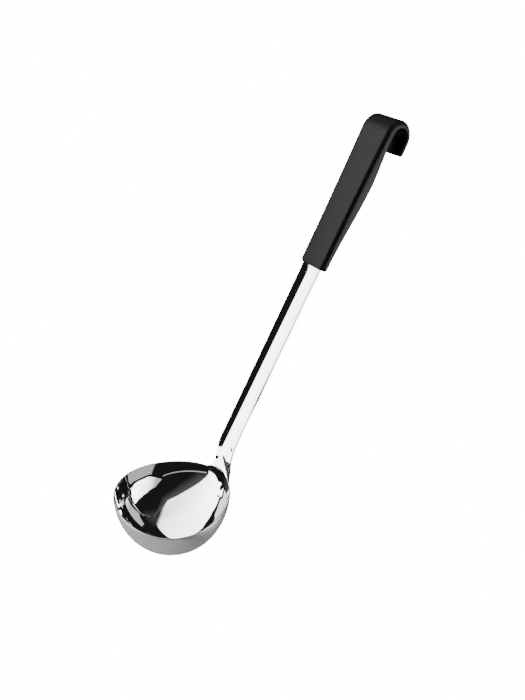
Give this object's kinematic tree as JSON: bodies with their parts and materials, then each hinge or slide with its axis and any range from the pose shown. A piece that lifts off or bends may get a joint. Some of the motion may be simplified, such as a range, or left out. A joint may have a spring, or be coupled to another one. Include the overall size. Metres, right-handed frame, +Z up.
{
  "type": "ladle",
  "caption": "Kitchen ladle with a deep polished steel bowl, a channelled steel stem bent at the neck and a flat black moulded grip that ends in a rail hook.",
  "frame": {"origin": "top of the hook's hollow, on the plane of symmetry, where a rail bears on it", "axes": "+Z up the stem, +X to the right seen from the bowl's side, +Y to the back, where the hook turns down; the bowl reaches to -Y"},
  "size_m": [0.0798, 0.0852, 0.3313],
  "materials": {
    "bowl_steel": "stainless steel, mirror polished inside and satin outside",
    "stem_steel": "stainless steel, mirror polished",
    "weld_steel": "stainless weld metal, dressed and satin",
    "grip_plastic": "black moulded polypropylene, fine satin grain"
  },
  "bodies": {
    "root": {"bowl": "bowl_steel", "stem": "stem_steel", "weld_left": "weld_steel", "weld_right": "weld_steel", "weld_lower": "weld_steel", "handle": "grip_plastic"}
  },
  "joints": []
}
